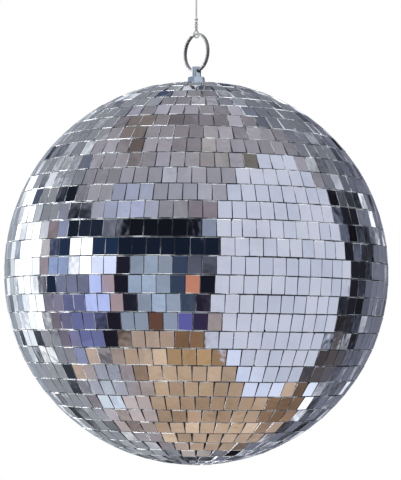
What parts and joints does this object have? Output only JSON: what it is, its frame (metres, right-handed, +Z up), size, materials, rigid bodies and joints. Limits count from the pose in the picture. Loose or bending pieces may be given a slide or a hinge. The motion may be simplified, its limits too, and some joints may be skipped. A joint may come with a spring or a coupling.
{
  "type": "mirror ball",
  "caption": "Mirror ball covered in rows of small flat glass tiles, hung by a cross-drilled pin, hex nut and split ring from a nylon line with a loop at its top.",
  "frame": {"origin": "inside top of the nylon line's upper loop, where a hook carries the ball", "axes": "+Z up along the ball's axis through pole and hanging pin; -Y is the front; the ball hangs below the origin"},
  "size_m": [0.2, 0.2, 0.2781],
  "materials": {
    "mirror": "silvered glass tiles with cut edges",
    "core": "moulded grey plastic under grey adhesive",
    "zinc": "bright zinc plate",
    "ring": "nickel-plated spring wire",
    "nylon": "translucent nylon line"
  },
  "bodies": {
    "line": {"string_line": "nylon", "top_knot": "nylon", "top_loop": "nylon"},
    "tie": {"string_tie": "nylon", "tie_knot": "nylon"},
    "ring": {"split_ring": "ring"},
    "ball": {"mirror_row_01": "mirror", "mirror_row_02": "mirror", "mirror_row_03": "mirror", "mirror_row_04": "mirror", "mirror_row_05": "mirror", "mirror_row_06": "mirror", "mirror_row_07": "mirror", "mirror_row_08": "mirror", "mirror_row_09": "mirror", "mirror_row_10": "mirror", "mirror_row_11": "mirror", "mirror_row_12": "mirror", "mirror_row_13": "mirror", "mirror_row_14": "mirror", "mirror_row_15": "mirror", "mirror_row_16": "mirror", "mirror_row_17": "mirror", "mirror_row_18": "mirror", "mirror_row_19": "mirror", "mirror_row_20": "mirror", "mirror_row_21": "mirror", "mirror_row_22": "mirror", "mirror_row_23": "mirror", "mirror_row_24": "mirror", "mirror_row_25": "mirror", "mirror_row_26": "mirror", "mirror_row_27": "mirror", "mirror_row_28": "mirror", "mirror_row_29": "mirror", "mirror_row_30": "mirror", "mirror_row_31": "mirror", "mirror_row_32": "mirror", "mirror_row_33": "mirror", "bottom_mirror": "mirror", "core_upper": "core", "core_lower": "core", "hanging_pin": "zinc", "top_nut": "zinc", "top_washer": "zinc", "inner_plate": "zinc", "inner_washer": "zinc", "inner_nut": "zinc"}
  },
  "joints": [
    {"name": "line_twist", "type": "hinge", "parent": "line", "child": "tie", "pos_m": [0, 0, -0.04285], "axis": [0, 0, 1], "continuous": true},
    {"name": "ring_swing", "type": "hinge", "parent": "tie", "child": "ring", "pos_m": [0, 0, -0.05175], "axis": [0.6115, -0.7912, 0], "range_deg": [-30, 30]},
    {"name": "ball_swing", "type": "hinge", "parent": "ring", "child": "ball", "pos_m": [0, 0, -0.07125], "axis": [0.6115, -0.7912, 0], "range_deg": [-85, 85]}
  ]
}
